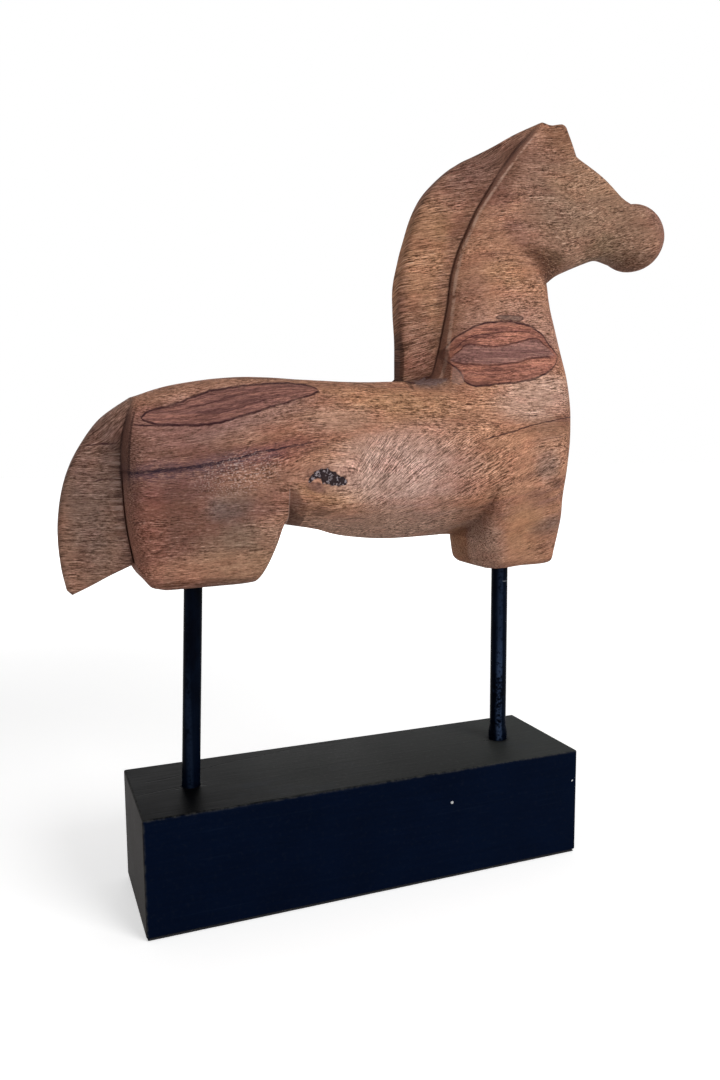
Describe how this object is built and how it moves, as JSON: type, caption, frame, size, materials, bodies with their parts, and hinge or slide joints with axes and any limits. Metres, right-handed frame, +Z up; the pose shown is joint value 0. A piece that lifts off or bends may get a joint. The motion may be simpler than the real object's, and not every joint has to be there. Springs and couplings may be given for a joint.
{
  "type": "carved wooden horse figurine on a block stand",
  "caption": "Stylised standing horse carved from one piece of wood, without lower legs, held over a black painted block by a straight rod and a leaning rod.",
  "frame": {"origin": "middle of the felt's underside, where the figurine stands", "axes": "+X the way the horse faces, along the block; +Z up; +Y to the horse's left"},
  "size_m": [0.2961, 0.06, 0.3495],
  "materials": {
    "carved_wood": "bare carved wood with open grain, a dark knot and red and grey patches, dull",
    "black_painted_wood": "black paint over wood, satin, with fine cracks and small chips",
    "black_painted_rod": "black paint over steel, satin to gloss, slightly rough",
    "plated_steel": "plain plated steel",
    "black_felt": "black felt, matte"
  },
  "bodies": {
    "root": {"horse_carving": "carved_wood", "base_block": "black_painted_wood", "felt_sheet": "black_felt", "front_rod": "black_painted_rod", "rear_rod": "black_painted_rod", "front_washer": "plated_steel", "rear_washer": "plated_steel", "front_nut": "plated_steel", "rear_nut": "plated_steel"}
  },
  "joints": []
}
